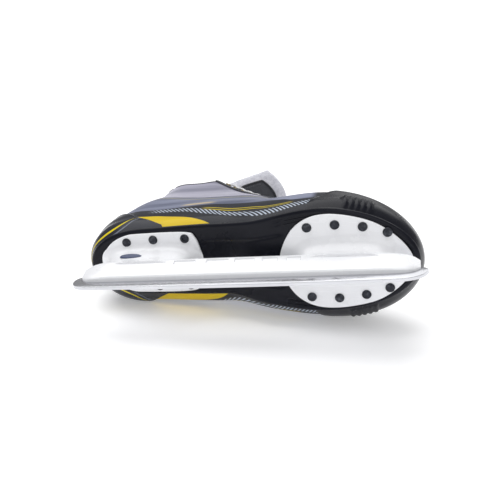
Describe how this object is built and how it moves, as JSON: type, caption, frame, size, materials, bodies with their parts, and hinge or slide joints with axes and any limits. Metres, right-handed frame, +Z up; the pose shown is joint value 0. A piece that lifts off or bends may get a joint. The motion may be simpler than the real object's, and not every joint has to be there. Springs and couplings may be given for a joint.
{
  "type": "ice hockey skate",
  "caption": "Lace-up ice hockey skate lying on its side: steel runner in a riveted plastic holder under a stiff padded boot with flexing tongue and tendon guard.",
  "frame": {"origin": "centre of the bounding box, on the floor under the skate, which lies on its inner side", "axes": "+X from heel to toe, +Y from the ice edge towards the collar, +Z up from the floor"},
  "size_m": [0.3036, 0.2964, 0.112],
  "materials": {
    "runner_steel": "polished edge",
    "holder_plastic": "gloss",
    "rivet_steel": "semi-gloss",
    "zinc_steel": "satin",
    "black_composite": "gloss",
    "printed_shell": "semi-gloss print",
    "black_shell": "satin",
    "board": "matt",
    "foam": "knit cover",
    "lining_cloth": "brushed knit",
    "felt": "felt",
    "eyelet_brass": "satin",
    "lace_cloth": "flat weave"
  },
  "bodies": {
    "skate": {"ankle_lining_inner": "lining_cloth", "ankle_lining_outer": "lining_cloth", "bolt_nut_front": "zinc_steel", "bolt_nut_rear": "zinc_steel", "eyelet_inner_1": "eyelet_brass", "eyelet_inner_10": "eyelet_brass", "eyelet_inner_2": "eyelet_brass", "eyelet_inner_3": "eyelet_brass", "eyelet_inner_4": "eyelet_brass", "eyelet_inner_5": "eyelet_brass", "eyelet_inner_6": "eyelet_brass", "eyelet_inner_7": "eyelet_brass", "eyelet_inner_8": "eyelet_brass", "eyelet_inner_9": "eyelet_brass", "eyelet_outer_1": "eyelet_brass", "eyelet_outer_10": "eyelet_brass", "eyelet_outer_2": "eyelet_brass", "eyelet_outer_3": "eyelet_brass", "eyelet_outer_4": "eyelet_brass", "eyelet_outer_5": "eyelet_brass", "eyelet_outer_6": "eyelet_brass", "eyelet_outer_7": "eyelet_brass", "eyelet_outer_8": "eyelet_brass", "eyelet_outer_9": "eyelet_brass", "facing_inner": "printed_shell", "facing_outer": "printed_shell", "footbed": "foam", "heel_counter": "black_shell", "holder": "holder_plastic", "insole_board": "board", "lace": "lace_cloth", "outsole": "black_composite", "quarter_inner": "printed_shell", "quarter_outer": "printed_shell", "rivet_heel_inner_1": "rivet_steel", "rivet_heel_inner_2": "rivet_steel", "rivet_heel_inner_3": "rivet_steel", "rivet_heel_outer_1": "rivet_steel", "rivet_heel_outer_2": "rivet_steel", "rivet_heel_outer_3": "rivet_steel", "rivet_toe_inner_1": "rivet_steel", "rivet_toe_inner_2": "rivet_steel", "rivet_toe_inner_3": "rivet_steel", "rivet_toe_inner_4": "rivet_steel", "rivet_toe_outer_1": "rivet_steel", "rivet_toe_outer_2": "rivet_steel", "rivet_toe_outer_3": "rivet_steel", "rivet_toe_outer_4": "rivet_steel", "runner": "runner_steel", "runner_bolt_front": "zinc_steel", "runner_bolt_rear": "zinc_steel", "toe_cap": "black_composite", "tongue": "felt"},
    "tongue_top": {"tongue_flap": "felt"},
    "tendon_guard": {"tendon_guard": "black_shell"}
  },
  "joints": [
    {"name": "tongue_flap_bend", "type": "hinge", "parent": "skate", "child": "tongue_top", "pos_m": [-0.04633, 0.10462, 0.04652], "axis": [0.0906, 0.0174, -0.9957], "range_deg": [-28, 45], "stiffness_Nm_per_rad": 0.4},
    {"name": "tendon_guard_flex", "type": "hinge", "parent": "skate", "child": "tendon_guard", "pos_m": [-0.13112, 0.08975, 0.03854], "axis": [-0.0906, -0.0174, 0.9957], "range_deg": [0, 15], "stiffness_Nm_per_rad": 3}
  ]
}
